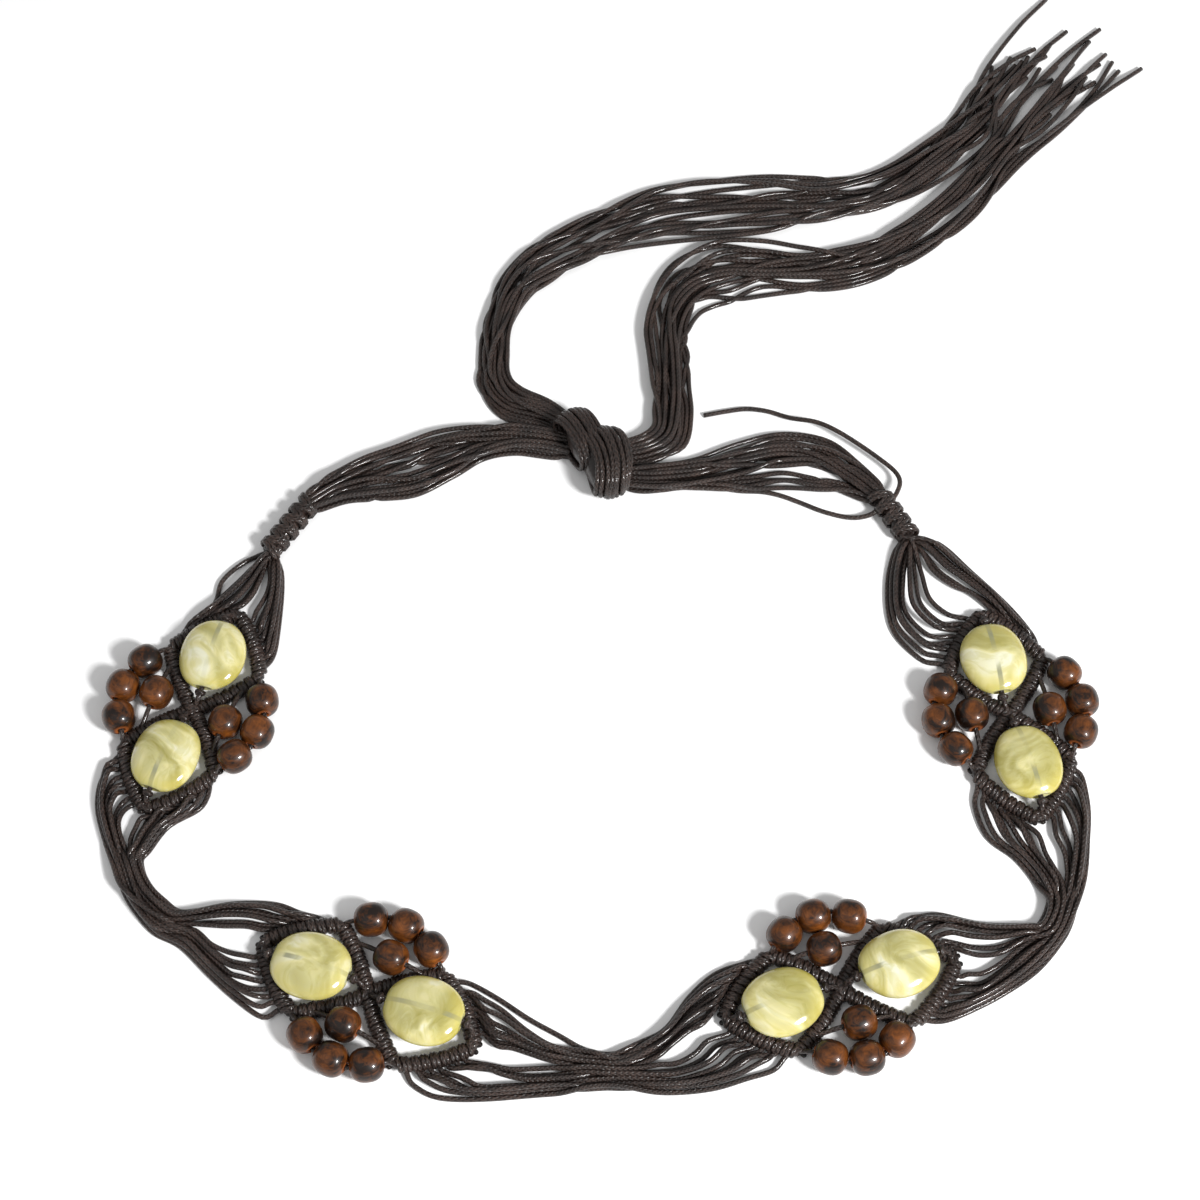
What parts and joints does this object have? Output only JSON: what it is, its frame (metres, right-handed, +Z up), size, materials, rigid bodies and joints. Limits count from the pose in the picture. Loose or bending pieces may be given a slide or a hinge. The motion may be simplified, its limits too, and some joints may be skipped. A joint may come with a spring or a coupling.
{
  "type": "beaded knotted cord belt",
  "caption": "Loop belt of dark waxed cord with knotted openwork frames of flat resin pebbles and round wooden beads, tied by an overhand knot with long loose tails.",
  "frame": {"origin": "middle of the bounds of the whole belt as it lies, on the surface it lies on", "axes": "+Z up from the surface; +Y from the beaded front towards the tie knot and tails; +X to the right seen from above"},
  "size_m": [0.3442, 0.4058, 0.014],
  "materials": {
    "cord": "waxed braid, dark brown, soft sheen",
    "wood": "stained nearly black with red-brown patches, lacquered",
    "pebble": "pale yellow-green marbled resin, polished"
  },
  "bodies": {
    "root": {"back_left": "cord", "back_right": "cord", "collar_left": "cord", "collar_right": "cord", "fan_left": "cord", "fan_right": "cord", "frame_front_left": "cord", "frame_front_right": "cord", "frame_left": "cord", "frame_right": "cord", "pebble_front_left_1": "pebble", "pebble_front_left_2": "pebble", "pebble_front_right_1": "pebble", "pebble_front_right_2": "pebble", "pebble_left_1": "pebble", "pebble_left_2": "pebble", "pebble_right_1": "pebble", "pebble_right_2": "pebble", "span_front": "cord", "span_left": "cord", "span_right": "cord", "tail_left": "cord", "tail_right": "cord", "tie_knot": "cord", "wood_front_left_bead_1a": "wood", "wood_front_left_bead_1b": "wood", "wood_front_left_bead_2a": "wood", "wood_front_left_bead_2b": "wood", "wood_front_left_bead_3a": "wood", "wood_front_left_bead_3b": "wood", "wood_front_left_bead_4a": "wood", "wood_front_left_bead_4b": "wood", "wood_front_right_bead_1a": "wood", "wood_front_right_bead_1b": "wood", "wood_front_right_bead_2a": "wood", "wood_front_right_bead_2b": "wood", "wood_front_right_bead_3a": "wood", "wood_front_right_bead_3b": "wood", "wood_front_right_bead_4a": "wood", "wood_front_right_bead_4b": "wood", "wood_left_bead_1a": "wood", "wood_left_bead_1b": "wood", "wood_left_bead_2a": "wood", "wood_left_bead_2b": "wood", "wood_left_bead_3a": "wood", "wood_left_bead_3b": "wood", "wood_left_bead_4a": "wood", "wood_left_bead_4b": "wood", "wood_right_bead_1a": "wood", "wood_right_bead_1b": "wood", "wood_right_bead_2a": "wood", "wood_right_bead_2b": "wood", "wood_right_bead_3a": "wood", "wood_right_bead_3b": "wood", "wood_right_bead_4a": "wood", "wood_right_bead_4b": "wood"}
  },
  "joints": []
}
